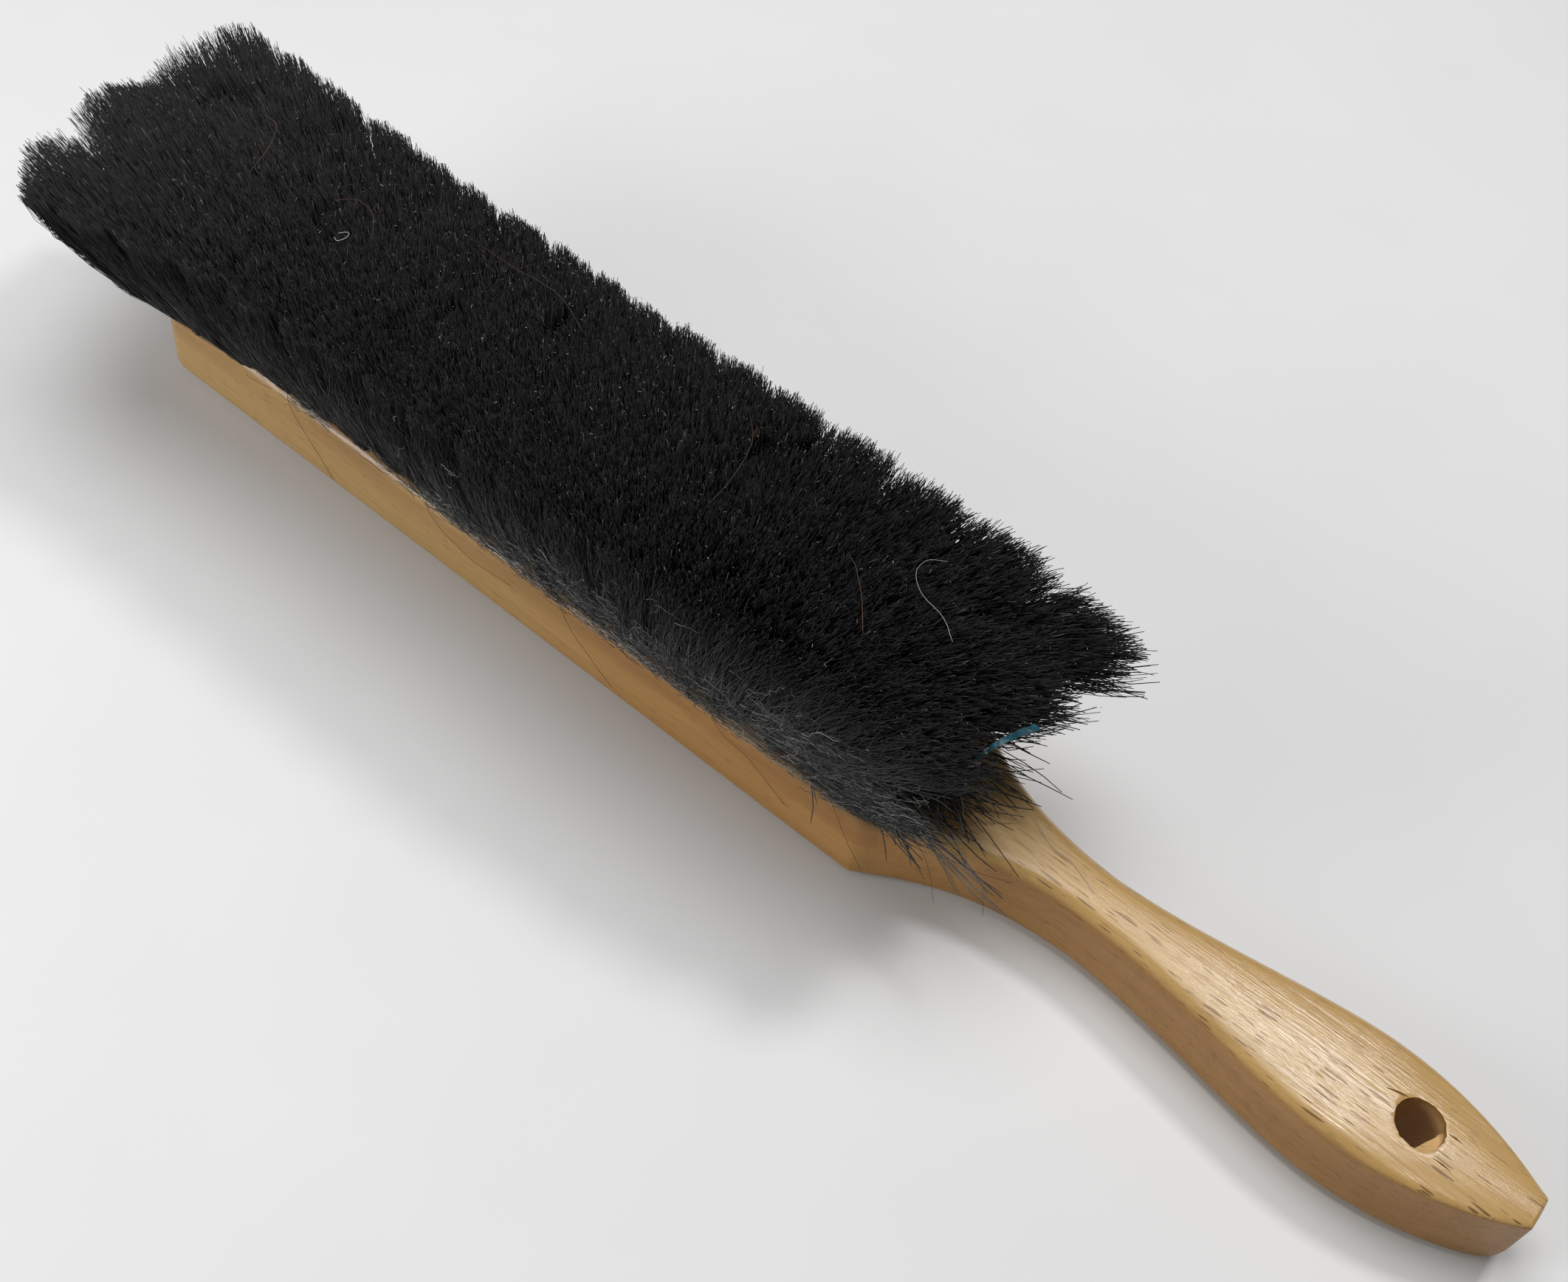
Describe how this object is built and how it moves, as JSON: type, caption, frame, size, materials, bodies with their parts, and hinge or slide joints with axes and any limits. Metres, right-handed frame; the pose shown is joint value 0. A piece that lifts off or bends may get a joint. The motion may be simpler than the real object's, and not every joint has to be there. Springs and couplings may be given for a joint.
{
  "type": "neck duster brush",
  "caption": "Counter-style hair and neck duster: flat hardwood block with a waisted handle, a hang hole and a long field of soft dark bristles.",
  "frame": {"origin": "centre of the block's flat back, which lies on the counter", "axes": "+X along the handle towards its nose, +Z away from the back, the way the bristles point, +Y to the left of the handle seen from above"},
  "size_m": [0.3604, 0.0621, 0.0673],
  "materials": {
    "wood": "satin lacquer",
    "bristle": "natural black hair"
  },
  "bodies": {
    "root": {"handle_block": "wood", "tuft_rank_01": "bristle", "tuft_rank_02": "bristle", "tuft_rank_03": "bristle", "tuft_rank_04": "bristle", "tuft_rank_05": "bristle", "tuft_rank_06": "bristle", "tuft_rank_07": "bristle", "tuft_rank_08": "bristle", "tuft_rank_09": "bristle", "tuft_rank_10": "bristle", "tuft_rank_11": "bristle", "tuft_rank_12": "bristle", "tuft_rank_13": "bristle", "tuft_rank_14": "bristle", "tuft_rank_15": "bristle", "tuft_rank_16": "bristle", "tuft_rank_17": "bristle", "tuft_rank_18": "bristle", "tuft_rank_19": "bristle", "tuft_rank_20": "bristle", "tuft_rank_21": "bristle", "tuft_rank_22": "bristle", "tuft_rank_23": "bristle", "tuft_rank_24": "bristle", "tuft_rank_25": "bristle", "tuft_rank_26": "bristle", "tuft_rank_27": "bristle", "tuft_rank_28": "bristle", "tuft_rank_29": "bristle", "tuft_rank_30": "bristle", "tuft_rank_31": "bristle", "tuft_rank_32": "bristle", "tuft_rank_33": "bristle"}
  },
  "joints": []
}
